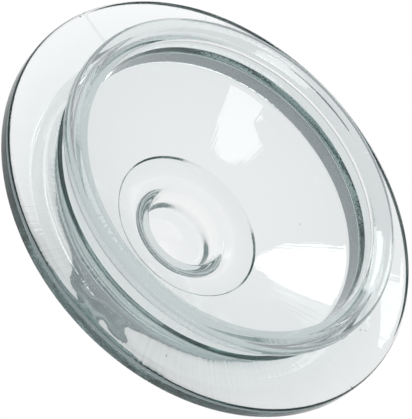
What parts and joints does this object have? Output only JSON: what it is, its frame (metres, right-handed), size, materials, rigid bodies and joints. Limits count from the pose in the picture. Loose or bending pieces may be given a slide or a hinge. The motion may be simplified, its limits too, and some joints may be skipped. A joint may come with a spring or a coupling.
{
  "type": "glass jar lid",
  "caption": "Round pressed-glass jar lid with a flat flange, a beaded plug collar, a dished bowl and a small hollow knob.",
  "frame": {"origin": "middle of the knob's flat end, which is the bottom of the part as it stands", "axes": "+Z is the axis of revolution and points out of the bowl, the way the collar enters a jar; the mould seams lie on the X axis"},
  "size_m": [0.16, 0.16, 0.0494],
  "materials": {
    "pressed_glass": "clear polished pressed glass with a faint sea-green tint and darker green edges"
  },
  "bodies": {
    "root": {"glass_lid": "pressed_glass"}
  },
  "joints": []
}
